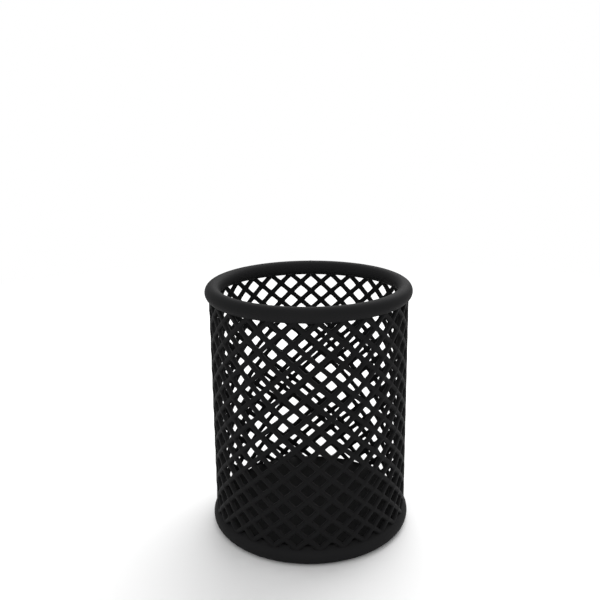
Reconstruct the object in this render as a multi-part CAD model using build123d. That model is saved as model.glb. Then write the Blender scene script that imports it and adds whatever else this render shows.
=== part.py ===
import os
from math import ceil, degrees, pi, sqrt

from build123d import *

# A round desk cup of diamond mesh, in millimetres.
# The origin is on the table under the middle of the cup, +Z is up and the front faces -Y.

# Whole cup
cup_height = 100.5  # table to the top of the rim
wall_diameter = 78.0  # outside of the mesh sheet
cut_overrun = 1.0  # how far a cut runs past what it cuts

# Mesh sheet, rolled from a flat strip
sheet_thickness = 1.8
strand_width = 1.9
mesh_columns = 27  # openings side by side round the wall
mesh_pitch_height = 8.05  # from one opening to the next straight above it
lowest_row_lift = 0.35  # from the sheet's lower edge up to the middle of the lowest openings
seam_gap = 0.2  # between the two upright edges of the rolled strip
sheet_seat_share = 0.5  # of a tube's inner radius, how far the sheet goes past the tube's middle

# Rim, a slit tube bent into a ring
rim_tube_diameter = 6.0
rim_tube_wall = 0.6
rim_inset = 0.6  # the tube's middle stands this far inside the middle of the sheet

# Base ring, a thicker slit tube
base_tube_diameter = 7.2
base_tube_wall = 0.6
base_inset = 1.4  # the tube's middle stands this far inside the middle of the sheet
base_flat_depth = 0.2  # flattened underneath, where the cup stands

# Base plate, a steel disc
plate_thickness = 0.6
plate_edge_radius = 0.3

# Fits
slit_clearance = 0.1  # each side of the sheet in a tube's slit
plate_clearance = 0.1  # between the plate's edge and the sheet

# Welds
seam_weld_diameter = 2.4
seam_weld_height = 0.7  # how far it stands in from the sheet
seam_weld_sides = 8
seam_weld_taper = 25  # degrees that its sides lean in
ring_weld_width = 1.2  # along the ring, between the two ends of a bent tube
ring_weld_crown = 0.15  # how far that weld stands proud of the tube
tack_radius = 1.2
tack_length = 2.0
tack_count = 6

# Radii and heights that the pieces share
sheet_outer_radius = wall_diameter / 2
sheet_inner_radius = sheet_outer_radius - sheet_thickness
sheet_middle_radius = (sheet_outer_radius + sheet_inner_radius) / 2
slit_width = sheet_thickness + 2 * slit_clearance

rim_tube_radius = rim_tube_diameter / 2
rim_cavity_radius = rim_tube_radius - rim_tube_wall
rim_ring_radius = sheet_middle_radius - rim_inset
rim_middle_height = cup_height - rim_tube_radius

base_tube_radius = base_tube_diameter / 2
base_cavity_radius = base_tube_radius - base_tube_wall
base_ring_radius = sheet_middle_radius - base_inset
base_middle_height = base_tube_radius - base_flat_depth

sheet_bottom = base_middle_height - base_cavity_radius * sheet_seat_share
sheet_top = rim_middle_height + rim_cavity_radius * sheet_seat_share
sheet_height = sheet_top - sheet_bottom
sheet_middle_height = (sheet_top + sheet_bottom) / 2

# The plate lies on the crown of the base ring
plate_radius = sheet_inner_radius - plate_clearance
plate_underside = base_middle_height + base_tube_radius
plate_top = plate_underside + plate_thickness

# Diamond openings left between two sets of crossing strands
column_pitch = 2 * pi * sheet_middle_radius / mesh_columns
column_angle = 360 / mesh_columns
row_step = mesh_pitch_height / 2
strand_spacing = column_pitch * mesh_pitch_height / sqrt(column_pitch**2 + mesh_pitch_height**2)
opening_share = 1 - strand_width / strand_spacing
opening_half_width = column_pitch / 2 * opening_share
opening_half_height = row_step * opening_share
seam_angle = (mesh_columns // 2 + 0.5) * column_angle  # from the front, so that the seam is at the back

# Rows of openings, the lowest one cut in half by the sheet's lower edge
lowest_row = sheet_bottom + lowest_row_lift
row_count = ceil((sheet_top + opening_half_height - lowest_row) / row_step)
row_heights = [lowest_row + row * row_step for row in range(row_count)]


def at_front(angle):
    return Rot(0, 0, angle - 90)


def make_mesh_wall():
    sheet = Cylinder(sheet_outer_radius, sheet_height) - Cylinder(sheet_inner_radius, sheet_height)
    diamond = Polygon(
        (opening_half_width, 0),
        (0, opening_half_height),
        (-opening_half_width, 0),
        (0, -opening_half_height),
    )
    opening = extrude(Plane.YZ * diamond, sheet_thickness / 2 + cut_overrun, both=True)
    cuts = []
    for row, height in enumerate(row_heights):
        half_step = 0.5 if row % 2 == 0 else 0
        for column in range(mesh_columns):
            turn = at_front((column + half_step) * column_angle)
            cuts.append(turn * Pos(sheet_middle_radius, 0, height) * opening)
    seam = Box(sheet_thickness + 2 * cut_overrun, seam_gap, sheet_height + 2 * cut_overrun)
    cuts.append(at_front(seam_angle) * Pos(sheet_middle_radius, 0, sheet_middle_height) * seam)
    return Pos(0, 0, sheet_middle_height) * sheet - cuts


def make_seam_welds():
    # One flat-faced dab on the inside at each crossing that the seam runs through
    outline = RegularPolygon(seam_weld_diameter / 2, seam_weld_sides)
    dab = extrude(-Plane.YZ * outline, seam_weld_height, taper=seam_weld_taper)
    bore = Pos(0, 0, sheet_middle_height) * Cylinder(sheet_inner_radius, sheet_height)
    lowest = plate_top + seam_weld_diameter
    highest = rim_middle_height - rim_tube_radius - seam_weld_diameter
    dabs = []
    for height in row_heights[1::2]:
        if lowest < height < highest:
            dabs.append(at_front(seam_angle) * Pos(sheet_inner_radius, 0, height) * dab & bore)
    return Compound(children=dabs)


def rim_section(outside):
    slit_height = rim_tube_radius + cut_overrun
    slit_place = Pos(sheet_middle_radius, rim_middle_height - slit_height / 2)
    slit = slit_place * Rectangle(slit_width, slit_height)
    middle = Pos(rim_ring_radius, rim_middle_height)
    return middle * Circle(outside) - middle * Circle(rim_cavity_radius) - slit


def base_section(outside):
    slit_height = base_tube_radius + cut_overrun
    slit_place = Pos(sheet_middle_radius, base_middle_height + slit_height / 2)
    slit = slit_place * Rectangle(slit_width, slit_height)
    under_width = 2 * (outside + cut_overrun)
    under = Pos(base_ring_radius, -cut_overrun / 2) * Rectangle(under_width, cut_overrun)
    middle = Pos(base_ring_radius, base_middle_height)
    return middle * Circle(outside) - middle * Circle(base_cavity_radius) - slit - under


def make_base_plate():
    disc = Cylinder(plate_radius, plate_thickness, align=(Align.CENTER, Align.CENTER, Align.MIN))
    disc = fillet(disc.edges().group_by(Axis.Z)[-1], plate_edge_radius)
    return Pos(0, 0, plate_underside) * disc


def make_base_tacks():
    # Short weld runs under the plate, where the room beside the base ring is as high as a run
    tack_place = base_ring_radius - sqrt(base_tube_radius**2 - (base_tube_radius - tack_radius) ** 2)
    under = Pos(tack_place, plate_underside - tack_radius) * Rectangle(2 * tack_radius, 2 * tack_radius)
    bead = Pos(tack_place, plate_underside) * Circle(tack_radius) & under
    section = bead - Pos(base_ring_radius, base_middle_height) * Circle(base_tube_radius)
    run_angle = degrees(tack_length / tack_place)
    run = revolve(Plane.XZ * section, Axis.Z, run_angle)
    turns = [at_front((number + 0.5) * 360 / tack_count - run_angle / 2) for number in range(tack_count)]
    return Compound(children=[turn * run for turn in turns])


# The two bent tubes close at the back, each with one weld
back_angle = 90
rim_weld_angle = degrees(ring_weld_width / rim_ring_radius)
base_weld_angle = degrees(ring_weld_width / base_ring_radius)


def make_ring(section, gap_angle):
    return Rot(0, 0, back_angle + gap_angle / 2) * revolve(Plane.XZ * section, Axis.Z, 360 - gap_angle)


def make_ring_weld(section, gap_angle):
    return Rot(0, 0, back_angle - gap_angle / 2) * revolve(Plane.XZ * section, Axis.Z, gap_angle)


base_plate = make_base_plate()
base_weld = make_ring_weld(base_section(base_tube_radius + ring_weld_crown), base_weld_angle)

pieces = {
    "mesh_wall": make_mesh_wall(),
    "seam_welds": make_seam_welds(),
    "rim_tube": make_ring(rim_section(rim_tube_radius), rim_weld_angle),
    "rim_weld": make_ring_weld(rim_section(rim_tube_radius + ring_weld_crown), rim_weld_angle),
    "base_ring": make_ring(base_section(base_tube_radius), base_weld_angle),
    "base_ring_weld": base_weld - base_plate,
    "base_plate": base_plate,
    "base_tacks": make_base_tacks(),
}

os.makedirs("parts", exist_ok=True)
for name, piece in pieces.items():
    export_step(piece, f"parts/{name}.step")
    print(name, len(piece.solids()), round(piece.volume, 2))
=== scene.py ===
import bmesh
import bpy
import math
from mathutils import Matrix, Vector


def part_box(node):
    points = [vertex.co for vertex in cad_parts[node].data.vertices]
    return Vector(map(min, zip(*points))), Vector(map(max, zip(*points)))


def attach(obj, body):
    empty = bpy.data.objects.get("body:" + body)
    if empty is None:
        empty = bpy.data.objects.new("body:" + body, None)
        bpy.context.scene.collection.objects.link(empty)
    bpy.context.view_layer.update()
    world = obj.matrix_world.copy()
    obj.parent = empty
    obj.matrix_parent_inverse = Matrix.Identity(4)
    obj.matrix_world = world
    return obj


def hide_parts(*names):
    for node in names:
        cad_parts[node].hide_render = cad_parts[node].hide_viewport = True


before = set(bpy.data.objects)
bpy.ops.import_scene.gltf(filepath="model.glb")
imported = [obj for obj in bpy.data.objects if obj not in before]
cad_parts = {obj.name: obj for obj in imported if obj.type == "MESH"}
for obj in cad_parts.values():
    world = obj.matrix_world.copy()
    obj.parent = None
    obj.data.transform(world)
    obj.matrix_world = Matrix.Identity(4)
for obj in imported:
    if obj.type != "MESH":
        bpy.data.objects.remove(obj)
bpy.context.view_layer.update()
scene = bpy.context.scene
scene.view_settings.view_transform = "Standard"
print("frame:", sorted(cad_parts))


class Wire:  # a socket in a node tree, so that node maths reads as sums
    def __init__(self, tree, socket=None):
        self.tree = tree
        self.socket = socket

    def node(self, kind, settings=None, sockets=None, out=0):
        made = self.tree.nodes.new(kind)
        for name, value in (settings or {}).items():
            setattr(made, name, value)
        for key, value in (sockets or {}).items():
            if isinstance(value, Wire):
                self.tree.links.new(value.socket, made.inputs[key])
            else:
                made.inputs[key].default_value = value
        return Wire(self.tree, made.outputs[out] if made.outputs else None)

    def sibling(self, out):  # another output of the same node
        return Wire(self.tree, self.socket.node.outputs[out])

    def maths(self, operation, first, second=0.0):
        return self.node("ShaderNodeMath", {"operation": operation}, {0: first, 1: second})

    def __add__(self, other):
        return self.maths("ADD", self, other)

    def __radd__(self, other):
        return self.maths("ADD", other, self)

    def __sub__(self, other):
        return self.maths("SUBTRACT", self, other)

    def __rsub__(self, other):
        return self.maths("SUBTRACT", other, self)

    def __mul__(self, other):
        return self.maths("MULTIPLY", self, other)

    def __rmul__(self, other):
        return self.maths("MULTIPLY", other, self)

    def __truediv__(self, other):
        return self.maths("DIVIDE", self, other)

    def __rtruediv__(self, other):
        return self.maths("DIVIDE", other, self)

    def __pow__(self, other):
        return self.maths("POWER", self, other)

    def __abs__(self):
        return self.maths("ABSOLUTE", self)


# black powder coat, one finish with a grain for each piece
coatMix = {"cloudShare": 0.6, "peelShare": 0.7, "peelDetail": 3.0, "grainDetail": 2.0, "cloudDetail": 4.0}


def powderCoat(name, finish):
    material = bpy.data.materials.new(name)
    material.use_nodes = True
    tree = material.node_tree
    tree.nodes.clear()
    start = Wire(tree)
    place = start.node("ShaderNodeTexCoord", out=3)

    def noise(kind):
        sockets = {"Vector": place, "Scale": finish[kind + "Scale"], "Detail": coatMix[kind + "Detail"]}
        return start.node("ShaderNodeTexNoise", {}, sockets)

    peel, grain, cloud = noise("peel"), noise("grain"), noise("cloud")
    blend = cloud * coatMix["cloudShare"] + grain * (1 - coatMix["cloudShare"])
    tone = start.node(
        "ShaderNodeMix",
        {"data_type": "RGBA"},
        {0: blend, 6: (*finish["dark"], 1), 7: (*finish["light"], 1)},
        out=2,
    )
    roughness = finish["roughness"] + (cloud - 0.5) * finish["cloudRough"]
    roughness = roughness + (grain - 0.5) * finish["grainRough"]
    relief = peel * coatMix["peelShare"] + grain * (1 - coatMix["peelShare"])
    bump = start.node(
        "ShaderNodeBump", {}, {"Strength": finish["bump"], "Distance": finish["bumpDepth"], "Height": relief}
    )
    coat = start.node(
        "ShaderNodeBsdfPrincipled",
        {},
        {
            "Base Color": tone,
            "Roughness": roughness,
            "Specular IOR Level": finish["specular"],
            "Normal": bump,
        },
    )
    start.node("ShaderNodeOutputMaterial", {}, {"Surface": coat})
    return material


# Geometry Nodes: a tree with named inputs, run once and kept as a plain mesh
def nodeTree(name, inputs):
    tree = bpy.data.node_groups.new(name, "GeometryNodeTree")
    tree.interface.new_socket("Geometry", in_out="OUTPUT", socket_type="NodeSocketGeometry")
    for label, kind in inputs.items():
        tree.interface.new_socket(label, in_out="INPUT", socket_type="NodeSocket" + kind)
    source = tree.nodes.new("NodeGroupInput")
    return Wire(tree), {label: Wire(tree, source.outputs[label]) for label in inputs}


def runTree(name, start, values):
    tree = start.tree
    piece = bpy.data.objects.new(name, bpy.data.meshes.new(name + "Start"))
    scene.collection.objects.link(piece)
    modifier = piece.modifiers.new(name, "NODES")
    modifier.node_group = tree
    for item in tree.interface.items_tree:
        if item.in_out == "INPUT":
            modifier[item.identifier] = values[item.name]
    evaluated = piece.evaluated_get(bpy.context.evaluated_depsgraph_get())
    mesh = bpy.data.meshes.new_from_object(evaluated)
    piece.modifiers.remove(modifier)
    piece.data = mesh
    mesh.name = name
    return piece


def closeTree(start, geometry, finish):  # every tree ends alike
    real = start.node("GeometryNodeRealizeInstances", {}, {0: geometry})
    smooth = start.node("GeometryNodeSetShadeSmooth", {}, {0: real})
    done = start.node("GeometryNodeSetMaterial", {}, {0: smooth, "Material": finish})
    start.node("NodeGroupOutput", {}, {0: done})


def keepPiece(piece, slot, *nodes):
    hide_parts(*nodes)
    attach(piece, "root")
    print(piece.name, "faces:", len(piece.data.polygons))


# mesh wall: diamond openings between two sets of crossing strands, rolled into a cylinder
wallLow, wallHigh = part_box("mesh_wall")
meshWall = {
    "columns": 27,
    "pitchHeight": 0.00805,
    "lowestRow": 0.00035,  # the lowest openings' middles above the sheet's lower edge
    "strandWidth": 0.0019,
    "strandThickness": 0.0018,
    "openingRound": 1.08,  # 1 is a sharp diamond, 2 an ellipse
    "strandRound": 2.6,  # 2 is a round strand, more is squarer
    "knuckle": 0.08,  # how much thicker the coating is at a crossing
    "around": 24,
    "across": 5,
    "seamGap": 0.00004,
    "mergeReach": 0.000004,  # joins the edges of neighbouring openings
    "smoothAngle": 50,
}
meshFinish = {
    "dark": (0.0077, 0.0077, 0.0080),
    "light": (0.0120, 0.0120, 0.0124),
    "peelScale": 1500,
    "grainScale": 5200,
    "cloudScale": 60,
    "roughness": 0.58,
    "cloudRough": 0.10,
    "grainRough": 0.14,
    "specular": 0.03,
    "bump": 0.35,
    "bumpDepth": 0.00006,
}


def wallTree():
    start, size = nodeTree(
        "wallStrands",
        {
            "Columns": "Int",
            "Rows": "Int",
            "Radius": "Float",
            "Lowest Row": "Float",
            "Pitch Width": "Float",
            "Pitch Height": "Float",
            "Strand Width": "Float",
            "Strand Thickness": "Float",
            "Opening Round": "Float",
            "Strand Round": "Float",
            "Knuckle": "Float",
            "Around": "Int",
            "Across": "Int",
            "Finish": "Material",
        },
    )
    pitchWidth, pitchHeight = size["Pitch Width"], size["Pitch Height"]

    # one opening: round it on x, over the strand from front to back on y
    tile = start.node(
        "GeometryNodeMeshGrid",
        {},
        {"Size X": 1.0, "Size Y": 1.0, "Vertices X": size["Around"] + 1, "Vertices Y": size["Across"] + 1},
    )
    place = start.node("ShaderNodeSeparateXYZ", {}, {0: start.node("GeometryNodeInputPosition")})
    turn = place + 0.5
    over = (place.sibling(1) + 0.5) * math.pi
    wide = abs(turn * 4 - 2) - 1
    high = abs(start.maths("FRACT", turn + 0.75) * 4 - 2) - 1
    spacing = pitchWidth * pitchHeight / (pitchWidth**2 + pitchHeight**2) ** 0.5
    roundness = size["Opening Round"]
    norm = (abs(wide) ** roundness + abs(high) ** roundness) ** (1 / roundness)
    edge = (1 - size["Strand Width"] / spacing) * start.maths("POWER", 2, 1 / roundness - 1) / norm
    power = 2 / size["Strand Round"]
    reach = abs(start.maths("SINE", over)) ** power * (edge - 1) + 1
    faceSide = start.maths("COSINE", over)
    corner = start.maths("MAXIMUM", abs(wide), abs(high)) * 2 - 1
    depth = start.maths("SIGN", faceSide) * abs(faceSide) ** power * size["Strand Thickness"] / 2
    depth = depth * (1 - size["Knuckle"] * (1 - corner**2))
    shaped = start.node(
        "ShaderNodeCombineXYZ",
        {},
        {0: wide * reach * pitchWidth / 2, 1: depth, 2: high * reach * pitchHeight / 2},
    )
    tile = start.node("GeometryNodeSetPosition", {}, {0: tile, "Position": shaped})

    # every second row stands half a column over
    lastColumn, lastRow = size["Columns"] - 1, size["Rows"] - 1
    spots = start.node(
        "GeometryNodeMeshGrid",
        {},
        {"Size X": lastColumn, "Size Y": lastRow, "Vertices X": size["Columns"], "Vertices Y": size["Rows"]},
    )
    column = start.maths("ROUND", place + lastColumn / 2)
    row = start.maths("ROUND", place.sibling(1) + lastRow / 2)
    halfStep = start.maths("MODULO", row, 2) / 2
    spot = start.node(
        "ShaderNodeCombineXYZ",
        {},
        {0: (column + halfStep) * pitchWidth, 1: 0.0, 2: size["Lowest Row"] + row * pitchHeight / 2},
    )
    spots = start.node("GeometryNodeSetPosition", {}, {0: spots, "Position": spot})
    sheet = start.node("GeometryNodeInstanceOnPoints", {}, {"Points": spots, "Instance": tile})
    sheet = start.node("GeometryNodeRealizeInstances", {}, {0: sheet})

    # roll the flat sheet about the cup's axis, its first column to the front
    angle = place / size["Radius"]
    radius = size["Radius"] + place.sibling(1)
    across = radius * start.maths("SINE", angle)
    forward = radius * start.maths("COSINE", angle) * -1
    rolled = start.node("ShaderNodeCombineXYZ", {}, {0: across, 1: forward, 2: place.sibling(2)})
    sheet = start.node("GeometryNodeSetPosition", {}, {0: sheet, "Position": rolled})
    sheet = start.node("GeometryNodeMergeByDistance", {}, {0: sheet, "Distance": meshWall["mergeReach"]})
    closeTree(start, sheet, size["Finish"])
    return start


tiny = 1e-7  # points closer than this are one


def softenEdges(bm, angle):  # shaded smooth where two faces meet at less than this
    limit = math.radians(angle)
    for edge in bm.edges:
        edge.smooth = len(edge.link_faces) == 2 and edge.calc_face_angle() < limit


def fillCut(bm, edges):
    edges = [edge for edge in edges if edge.is_valid and edge.is_boundary]
    bmesh.ops.holes_fill(bm, edges=edges, sides=0)


def trimSheet(mesh, low, high, seamGap, seamReach):
    bm = bmesh.new()
    bm.from_mesh(mesh)
    for height, away in ((low, -1), (high, 1)):
        geometry = bm.verts[:] + bm.edges[:] + bm.faces[:]
        cut = bmesh.ops.bisect_plane(
            bm, geom=geometry, dist=tiny, plane_co=(0, 0, height), plane_no=(0, 0, away), clear_outer=True
        )
        fillCut(bm, [part for part in cut["geom_cut"] if isinstance(part, bmesh.types.BMEdge)])
    for side in (-1, 1):
        faces = [face for face in bm.faces if all(v.co.y > 0 and abs(v.co.x) < seamReach for v in face.verts)]
        edges = {edge for face in faces for edge in face.edges}
        verts = {vert for face in faces for vert in face.verts}
        bmesh.ops.bisect_plane(
            bm,
            geom=list(verts) + list(edges) + faces,
            dist=tiny,
            plane_co=(side * seamGap / 2, 0, 0),
            plane_no=(side, 0, 0),
        )
    between = []
    for face in bm.faces:
        middle = face.calc_center_median()
        if middle.y > 0 and abs(middle.x) < seamGap / 2:
            between.append(face)
    bmesh.ops.delete(bm, geom=between, context="FACES")
    fillCut(bm, [edge for edge in bm.edges if edge.is_boundary])
    bmesh.ops.recalc_face_normals(bm, faces=bm.faces[:])
    softenEdges(bm, meshWall["smoothAngle"])
    openEdges = sum(1 for edge in bm.edges if not edge.is_manifold)
    bm.to_mesh(mesh)
    bm.free()
    print("wall trimmed, open edges:", openEdges)


wallRadius = wallHigh.x - meshWall["strandThickness"] / 2
rowStep = meshWall["pitchHeight"] / 2
pitchWidth = 2 * math.pi * wallRadius / meshWall["columns"]
meshCoat = powderCoat("meshCoat", meshFinish)
wall = runTree(
    "meshWall",
    wallTree(),
    {
        "Columns": meshWall["columns"],
        "Rows": math.ceil((wallHigh.z - wallLow.z) / rowStep) + 3,
        "Radius": wallRadius,
        "Lowest Row": wallLow.z + meshWall["lowestRow"] - rowStep,  # one more row, for the trim
        "Pitch Width": pitchWidth,
        "Pitch Height": meshWall["pitchHeight"],
        "Strand Width": meshWall["strandWidth"],
        "Strand Thickness": meshWall["strandThickness"],
        "Opening Round": meshWall["openingRound"],
        "Strand Round": meshWall["strandRound"],
        "Knuckle": meshWall["knuckle"],
        "Around": meshWall["around"],
        "Across": meshWall["across"],
        "Finish": meshCoat,
    },
)
trimSheet(wall.data, wallLow.z, wallHigh.z, meshWall["seamGap"], pitchWidth)
keepPiece(wall, "black_mesh", "mesh_wall")


# slit tubes bent into rings, and the welds that close them
tubeFinish = {
    "dark": (0.0116, 0.0116, 0.0120),
    "light": (0.0160, 0.0160, 0.0165),
    "peelScale": 1100,
    "grainScale": 4200,
    "cloudScale": 45,
    "roughness": 0.56,
    "cloudRough": 0.10,
    "grainRough": 0.12,
    "specular": 0.02,
    "bump": 0.30,
    "bumpDepth": 0.00006,
}
tubeCoat = powderCoat("tubeCoat", tubeFinish)


def spread(first, last, count):
    return [first + (last - first) * step / count for step in range(count + 1)]


def slitSection(tube, swell=0.0):  # an outline of radius and height, from lip to lip; the coat fills the slit
    reach = tube["tubeRadius"] + swell
    outerLip = -math.acos((slitOuter - tube["ringRadius"]) / reach)
    innerLip = 2 * math.pi - math.acos((slitInner - tube["ringRadius"]) / reach)
    outline = []
    for angle in spread(outerLip, innerLip, tube["steps"]):
        height = tube["height"] - tube["slitSide"] * reach * math.sin(angle)
        outline.append((tube["ringRadius"] + reach * math.cos(angle), max(height, tube["floor"])))
    return outline


def bendSection(name, sections, angles, finish):  # one outline at each angle, with flat ends
    bm = bmesh.new()
    rings = []
    for outline, angle in zip(sections, angles):
        rings.append([bm.verts.new((r * math.sin(angle), -r * math.cos(angle), z)) for r, z in outline])
    count = len(rings[0])
    for ring, following in zip(rings, rings[1:]):
        for step in range(count):
            after = (step + 1) % count
            bm.faces.new((ring[step], following[step], following[after], ring[after]))
    bm.faces.new(rings[0])
    bm.faces.new(rings[-1][::-1])
    return finishMesh(name, bm, finish)


def finishMesh(name, bm, finish, smoothAngle=40):
    bmesh.ops.remove_doubles(bm, verts=bm.verts[:], dist=tiny)
    bmesh.ops.recalc_face_normals(bm, faces=bm.faces[:])
    for face in bm.faces:
        face.smooth = True
    softenEdges(bm, smoothAngle)
    mesh = bpy.data.meshes.new(name)
    bm.to_mesh(mesh)
    bm.free()
    mesh.materials.append(finish)
    piece = bpy.data.objects.new(name, mesh)
    scene.collection.objects.link(piece)
    return piece


slitRoom = 0.0001  # beside the sheet in a slit
slitInner = wallHigh.x - meshWall["strandThickness"] - slitRoom
slitOuter = wallHigh.x + slitRoom
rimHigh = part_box("rim_tube")[1]
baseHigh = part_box("base_ring")[1]
rimTubeRadius = 0.003
baseTubeRadius = 0.0036
rimTube = {
    "tubeRadius": rimTubeRadius,
    "ringRadius": rimHigh.x - rimTubeRadius,
    "height": rimHigh.z - rimTubeRadius,
    "slitSide": -1,  # the slit opens downwards
    "floor": -1.0,  # out of reach, so the tube stays round
    "steps": 40,
    "around": 192,
}
baseRing = {
    "tubeRadius": baseTubeRadius,
    "ringRadius": baseHigh.x - baseTubeRadius,
    "height": 0.0034,
    "slitSide": 1,
    "floor": 0.0,  # the ring is flat where it stands
    "steps": 40,
    "around": 192,
}
ringWeld = {"width": 0.0012, "crown": 0.00006, "ripples": 26, "ripple": 0.00003, "slant": 1.2, "steps": 8}


def weldSections(tube):
    sections = []
    for across in spread(-1, 1, ringWeld["steps"]):
        hump = math.sqrt(max(0.0, 1 - across**2))
        outline = slitSection(tube, ringWeld["crown"] * hump)
        for step, (r, z) in enumerate(outline):  # the ripples of a weld run, under the coat
            turn = 2 * math.pi * ringWeld["ripples"] * step / tube["steps"]
            wave = math.sin(turn + ringWeld["slant"] * across)
            lift = ringWeld["ripple"] * hump * (wave - 1) / 2
            away = Vector((r - tube["ringRadius"], z - tube["height"])).normalized()
            outline[step] = (r + away.x * lift, max(z + away.y * lift, tube["floor"]))
        sections.append(outline)
    return sections


def makeRing(name, weldName, tube, ringNode, weldNode):
    halfGap = ringWeld["width"] / tube["ringRadius"] / 2
    angles = spread(math.pi + halfGap, 3 * math.pi - halfGap, tube["around"])
    ring = bendSection(name, [slitSection(tube)] * len(angles), angles, tubeCoat)
    keepPiece(ring, "black_tube", ringNode)
    sections = weldSections(tube)
    angles = spread(math.pi - halfGap, math.pi + halfGap, ringWeld["steps"])
    weld = bendSection(weldName, sections, angles, tubeCoat)
    keepPiece(weld, "black_tube", weldNode)


makeRing("rimTube", "rimWeld", rimTube, "rim_tube", "rim_weld")
makeRing("baseRing", "baseRingWeld", baseRing, "base_ring", "base_ring_weld")


# base plate: a steel disc with a softened edge
plateLow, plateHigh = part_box("base_plate")
basePlate = {"edgeRadius": 0.0003, "edgeSteps": 6, "around": 192, "rings": 12}
# the plate's coat is the same black powder coat as the tubes, painted much darker as painted shade on the
# cup's inner floor; the noise between its two tones is random tone
paintedShadePlateFinish = {
    "dark": (0.0028, 0.0028, 0.0029),
    "light": (0.0046, 0.0046, 0.0048),
    "peelScale": 900,
    "grainScale": 3600,
    "cloudScale": 30,
    "roughness": 0.60,
    "cloudRough": 0.12,
    "grainRough": 0.12,
    "specular": 0.02,
    "bump": 0.35,
    "bumpDepth": 0.00006,
}
paintedShadePlateCoat = powderCoat("paintedShadePlateCoat", paintedShadePlateFinish)


def makePlate():
    outer, soft = plateHigh.x, basePlate["edgeRadius"]
    ringRadii = [outer * step / basePlate["rings"] for step in range(1, basePlate["rings"])]
    outline = [(radius, plateLow.z) for radius in ringRadii + [outer]]
    for angle in spread(0, math.pi / 2, basePlate["edgeSteps"]):
        outline.append((outer - soft + soft * math.cos(angle), plateHigh.z - soft + soft * math.sin(angle)))
    outline += [(radius, plateHigh.z) for radius in ringRadii[::-1]]
    bm = bmesh.new()
    rings = []
    for step in range(basePlate["around"]):
        angle = 2 * math.pi * step / basePlate["around"]
        rings.append([bm.verts.new((r * math.sin(angle), -r * math.cos(angle), z)) for r, z in outline])
    under = bm.verts.new((0, 0, plateLow.z))
    top = bm.verts.new((0, 0, plateHigh.z))
    for ring, following in zip(rings, rings[1:] + rings[:1]):
        for step in range(len(outline) - 1):
            bm.faces.new((ring[step], following[step], following[step + 1], ring[step + 1]))
        bm.faces.new((under, following[0], ring[0]))
        bm.faces.new((top, ring[-1], following[-1]))
    return finishMesh("basePlate", bm, paintedShadePlateCoat)


keepPiece(makePlate(), "black_plate", "base_plate")


# spot welds up the seam: low dabs on the inside, no two quite alike
seamLow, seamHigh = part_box("seam_welds")
seamWeld = {
    "radius": (seamHigh.x - seamLow.x) / 2,
    "height": seamHigh.y - seamLow.y,
    "sink": 0.0005,  # how far its middle is in the sheet, so that it fills the seam
    "count": round((seamHigh.z - seamLow.z) / meshWall["pitchHeight"]) + 1,
    "uneven": 0.15,
    "seed": 3,
}


def dabSpread(start, size, spots, dab):  # one dab on each spot, each a little smaller than the largest
    scale = start.node(
        "FunctionNodeRandomValue",
        {"data_type": "FLOAT"},
        {2: 1 - size["Uneven"], 3: 1.0, "Seed": size["Seed"]},
        out=1,
    )
    dabs = start.node("GeometryNodeInstanceOnPoints", {}, {"Points": spots, "Instance": dab, "Scale": scale})
    closeTree(start, dabs, size["Finish"])
    return start


def seamTree():
    start, size = nodeTree(
        "seamDabs",
        {
            "Count": "Int",
            "Lowest": "Float",
            "Pitch Height": "Float",
            "Radius": "Float",
            "Dab Radius": "Float",
            "Dab Height": "Float",
            "Uneven": "Float",
            "Seed": "Int",
            "Finish": "Material",
        },
    )
    first = start.node("ShaderNodeCombineXYZ", {}, {1: size["Radius"], 2: size["Lowest"]})
    step = start.node("ShaderNodeCombineXYZ", {}, {2: size["Pitch Height"]})
    line = {"Count": size["Count"], "Start Location": first, "Offset": step}
    spots = start.node("GeometryNodeMeshLine", {}, line)
    dab = start.node("GeometryNodeMeshIcoSphere", {}, {"Radius": 1.0, "Subdivisions": 3})
    flat = start.node(
        "ShaderNodeCombineXYZ", {}, {0: size["Dab Radius"], 1: size["Dab Height"], 2: size["Dab Radius"]}
    )
    dab = start.node("GeometryNodeTransform", {}, {0: dab, "Scale": flat})
    return dabSpread(start, size, spots, dab)


seamWelds = runTree(
    "seamWelds",
    seamTree(),
    {
        "Count": seamWeld["count"],
        "Lowest": seamLow.z + seamWeld["radius"],
        "Pitch Height": meshWall["pitchHeight"],
        "Radius": seamHigh.y + seamWeld["sink"],
        "Dab Radius": seamWeld["radius"],
        "Dab Height": seamWeld["height"] + seamWeld["sink"],
        "Uneven": seamWeld["uneven"],
        "Seed": seamWeld["seed"],
        "Finish": meshCoat,
    },
)
keepPiece(seamWelds, "black_mesh", "seam_welds")


# tack welds under the plate, beside the base ring
baseTack = {
    "radius": 0.0009,
    "drop": 0.0004,  # its middle below the plate
    "count": 6,
    "uneven": 0.15,
    "seed": 5,
}


def tackTree():
    start, size = nodeTree(
        "tackDabs",
        {
            "Count": "Int",
            "Ring Radius": "Float",
            "Height": "Float",
            "Dab Radius": "Float",
            "Uneven": "Float",
            "Seed": "Int",
            "Finish": "Material",
        },
    )
    ring = {"Vertices": size["Count"], "Radius": size["Ring Radius"]}
    spots = start.node("GeometryNodeMeshCircle", {}, ring)
    lift = start.node("ShaderNodeCombineXYZ", {}, {2: size["Height"]})
    spots = start.node("GeometryNodeTransform", {}, {0: spots, "Translation": lift})
    dab = start.node("GeometryNodeMeshIcoSphere", {}, {"Radius": size["Dab Radius"], "Subdivisions": 3})
    return dabSpread(start, size, spots, dab)


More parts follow.
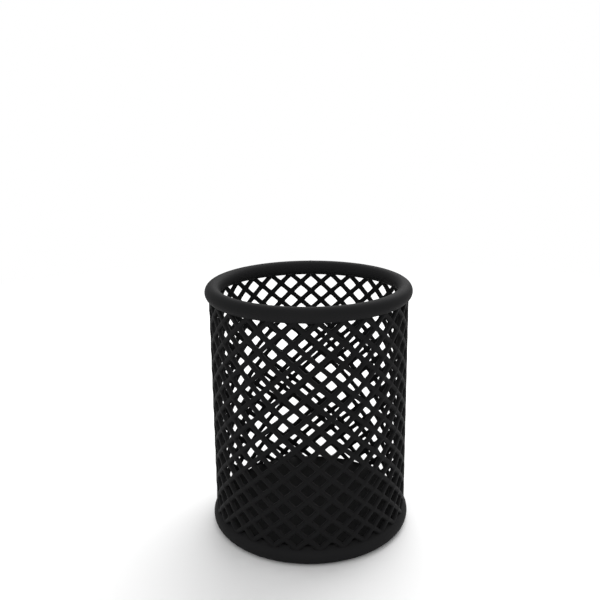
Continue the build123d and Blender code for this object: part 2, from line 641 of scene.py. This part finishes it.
tackRoom = baseRing["tubeRadius"] - baseTack["radius"]
tackReach = math.sqrt(baseRing["tubeRadius"] ** 2 - tackRoom**2)
baseTacks = runTree(
    "baseTacks",
    tackTree(),
    {
        "Count": baseTack["count"],
        "Ring Radius": baseRing["ringRadius"] - tackReach,
        "Height": plateLow.z - baseTack["drop"],
        "Dab Radius": baseTack["radius"],
        "Uneven": baseTack["uneven"],
        "Seed": baseTack["seed"],
        # the tacks take the plate's coat, darkened with its painted shade
        "Finish": paintedShadePlateCoat,
    },
)
keepPiece(baseTacks, "black_plate", "base_tacks")


# stage: pale floor, white surround and two soft lamps
studio = {
    "floorColor": (0.86, 0.86, 0.86),
    "floorRadius": 3.0,
    "floorSides": 96,
    "fadeStart": 0.22,
    "fadeEnd": 0.5,
    "ambient": 0.85,
}
lamps = {
    "keyLamp": {"place": (0.25, 0.75, 0.85), "aim": (0, 0, 0.04), "size": 1.2, "power": 13.6},
    "fillLamp": {"place": (-0.55, -0.75, 0.55), "aim": (0, 0, 0.05), "size": 0.8, "power": 0.6},
}


def makeFloor():
    bm = bmesh.new()
    bmesh.ops.create_circle(bm, cap_ends=True, segments=studio["floorSides"], radius=studio["floorRadius"])
    mesh = bpy.data.meshes.new("floor")
    bm.to_mesh(mesh)
    bm.free()
    floor = bpy.data.objects.new("floor", mesh)
    scene.collection.objects.link(floor)
    material = bpy.data.materials.new("floorPaper")
    material.use_nodes = True
    tree = material.node_tree
    tree.nodes.clear()
    start = Wire(tree)
    rays = start.node("ShaderNodeLightPath")
    place = start.node("ShaderNodeSeparateXYZ", {}, {0: start.node("ShaderNodeTexCoord", out=3)})
    away = (place**2 + place.sibling(1) ** 2) ** 0.5
    fading = {"Value": away, "From Min": studio["fadeStart"], "From Max": studio["fadeEnd"]}
    fade = start.node("ShaderNodeMapRange", {}, fading)
    seen = start.maths("MAXIMUM", rays, rays.sibling("Is Glossy Ray"))
    seen = start.maths("MAXIMUM", seen, rays.sibling("Is Transmission Ray"))
    paper = start.node("ShaderNodeBsdfDiffuse", {}, {"Color": (*studio["floorColor"], 1)})
    white = start.node("ShaderNodeEmission", {}, {"Strength": 1.0})
    ground = start.node("ShaderNodeMixShader", {}, {0: fade * seen, 1: paper, 2: white})
    clear = start.node("ShaderNodeBsdfTransparent")
    behind = start.node("ShaderNodeNewGeometry").sibling("Backfacing")
    ground = start.node("ShaderNodeMixShader", {}, {0: behind * rays, 1: ground, 2: clear})
    start.node("ShaderNodeOutputMaterial", {}, {"Surface": ground})
    mesh.materials.append(material)


def makeSurround():
    world = bpy.data.worlds.new("surround")
    scene.world = world
    world.use_nodes = True
    tree = world.node_tree
    tree.nodes.clear()
    start = Wire(tree)
    rays = start.node("ShaderNodeLightPath")
    seen = start.maths("MAXIMUM", rays, rays.sibling("Is Transmission Ray"))
    strength = studio["ambient"] + seen * (1 - studio["ambient"])
    sky = start.node("ShaderNodeBackground", {}, {"Color": (1, 1, 1, 1), "Strength": strength})
    start.node("ShaderNodeOutputWorld", {}, {"Surface": sky})


def makeLamps():
    for name, lamp in lamps.items():
        data = bpy.data.lights.new(name, "AREA")
        data.shape = "DISK"
        data.size = lamp["size"]
        data.energy = lamp["power"]
        holder = bpy.data.objects.new(name, data)
        holder.location = lamp["place"]
        aim = Vector(lamp["aim"]) - Vector(lamp["place"])
        holder.rotation_euler = aim.to_track_quat("-Z", "Y").to_euler()
        scene.collection.objects.link(holder)


makeFloor()
makeSurround()
makeLamps()
print("stage set")


# camera: where the photograph was taken from
view = {
    "elevation": 15.19,
    "turn": 1.11,  # degrees round the cup, to the right
    "distance": 0.3106,
    "aimHeight": 0.0925,
    "aimSide": 0.0022,  # to the right of the cup's axis
    "focalPixels": 790.4,
    "framePixels": 600,
    "sensorWidth": 36,
    "clipStart": 0.01,
    "clipEnd": 20,
    "aimColumn": 314.4,  # the pixel that the camera aims at
    "aimRow": 300.85,
    "roll": -0.393,
}


def makeCamera():
    data = bpy.data.cameras.new("camera")
    data.sensor_width = view["sensorWidth"]
    data.lens = view["focalPixels"] / view["framePixels"] * view["sensorWidth"]
    data.shift_x = 0.5 - view["aimColumn"] / view["framePixels"]
    data.shift_y = view["aimRow"] / view["framePixels"] - 0.5
    data.clip_start = view["clipStart"]
    data.clip_end = view["clipEnd"]
    camera = bpy.data.objects.new("camera", data)
    scene.collection.objects.link(camera)
    turn, elevation = math.radians(view["turn"]), math.radians(view["elevation"])
    level, rise = math.cos(elevation), math.sin(elevation)
    back = Vector((math.sin(turn) * level, -math.cos(turn) * level, rise))
    aimPoint = Vector((view["aimSide"] * math.cos(turn), view["aimSide"] * math.sin(turn), view["aimHeight"]))
    camera.location = aimPoint + back * view["distance"]
    aim = (-back).to_track_quat("-Z", "Y").to_matrix().to_4x4()
    camera.rotation_euler = (aim @ Matrix.Rotation(math.radians(view["roll"]), 4, "Z")).to_euler()
    scene.camera = camera


makeCamera()
print("camera set")
